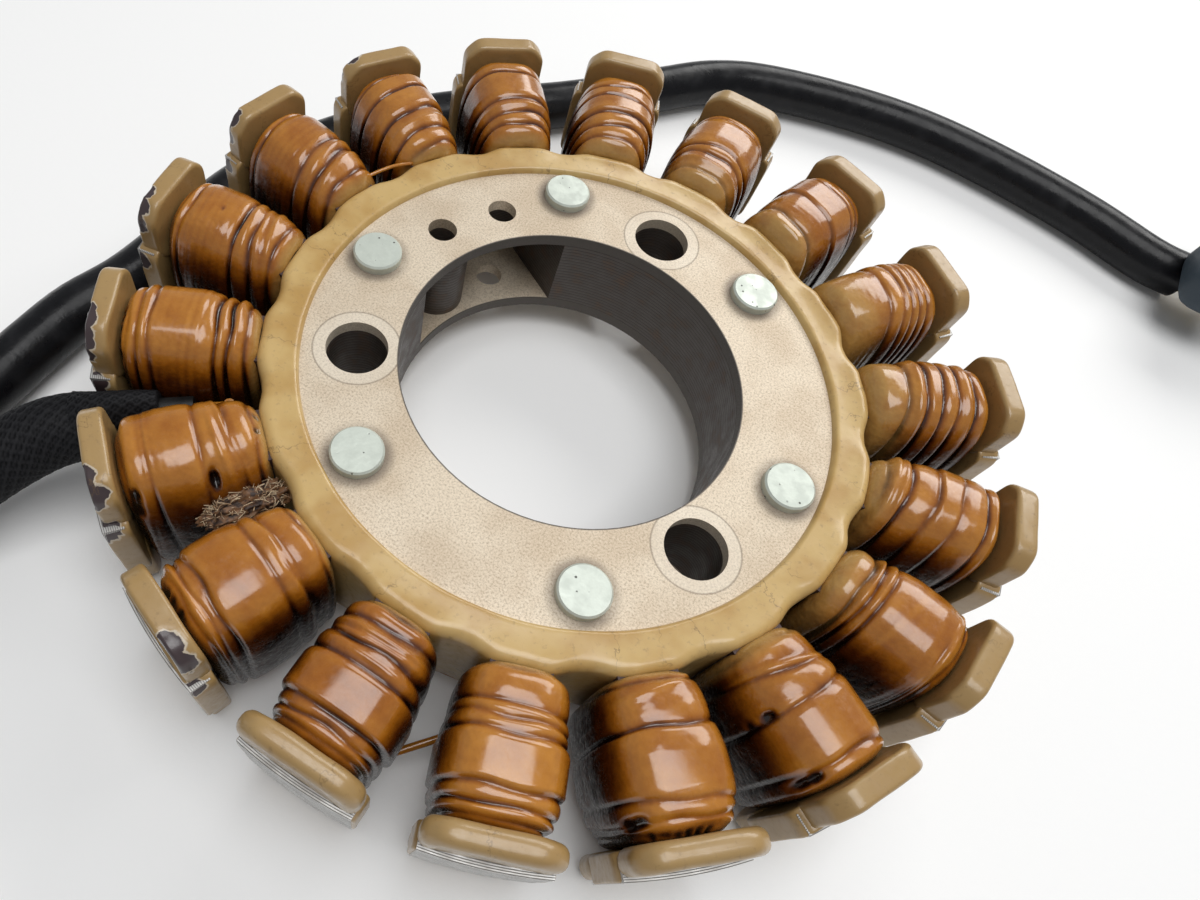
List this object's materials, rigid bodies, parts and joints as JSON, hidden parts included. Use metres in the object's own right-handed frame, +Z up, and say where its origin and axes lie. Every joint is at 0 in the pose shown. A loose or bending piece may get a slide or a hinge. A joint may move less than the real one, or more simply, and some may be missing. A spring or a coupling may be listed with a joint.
{
  "type": "alternator_stator",
  "caption": "Wound alternator stator: laminated ring with T-shaped poles, epoxy coat, varnished coils, bore, bolt holes and a sleeved lead with connector",
  "frame": {"origin": "on the bore's axis, level with the lower tab ends that the stator stands on", "axes": "+Z up along the bore, +Y towards one mounting hole, +X to the right with that hole at the back"},
  "size_m": [0.1966, 0.2113, 0.0218],
  "materials": {
    "ground_steel": "ground",
    "bare_plate": "worn",
    "tan_epoxy": "baked",
    "varnished_winding": "varnished",
    "zinc_rivet": "zinc plated",
    "fibre_sleeving": "varnished",
    "black_lead": "satin",
    "black_braid": "braided",
    "black_tube": "smooth",
    "yellow_lead": "smooth",
    "slate_plastic": "moulded",
    "tinned_blade": "tinned"
  },
  "bodies": {
    "root": {"lamination_core": "ground_steel", "upper_end_plate": "bare_plate", "lower_end_plate": "bare_plate", "epoxy_insulation": "tan_epoxy", "coil_01": "varnished_winding", "coil_02": "varnished_winding", "coil_03": "varnished_winding", "coil_04": "varnished_winding", "coil_05": "varnished_winding", "coil_06": "varnished_winding", "coil_07": "varnished_winding", "coil_08": "varnished_winding", "coil_09": "varnished_winding", "coil_10": "varnished_winding", "coil_11": "varnished_winding", "coil_12": "varnished_winding", "coil_13": "varnished_winding", "coil_14": "varnished_winding", "coil_15": "varnished_winding", "coil_16": "varnished_winding", "coil_17": "varnished_winding", "coil_18": "varnished_winding", "rivets": "zinc_rivet", "crossover_wires": "varnished_winding", "star_joint_sleeve": "fibre_sleeving", "lead_joint_sleeves": "fibre_sleeving", "lead_wires": "black_lead", "braided_sleeve": "black_braid", "sleeve_collar": "black_tube", "lead_tube": "black_tube", "connector_leads": "yellow_lead", "connector_housing": "slate_plastic", "connector_terminals": "tinned_blade"}
  },
  "joints": []
}
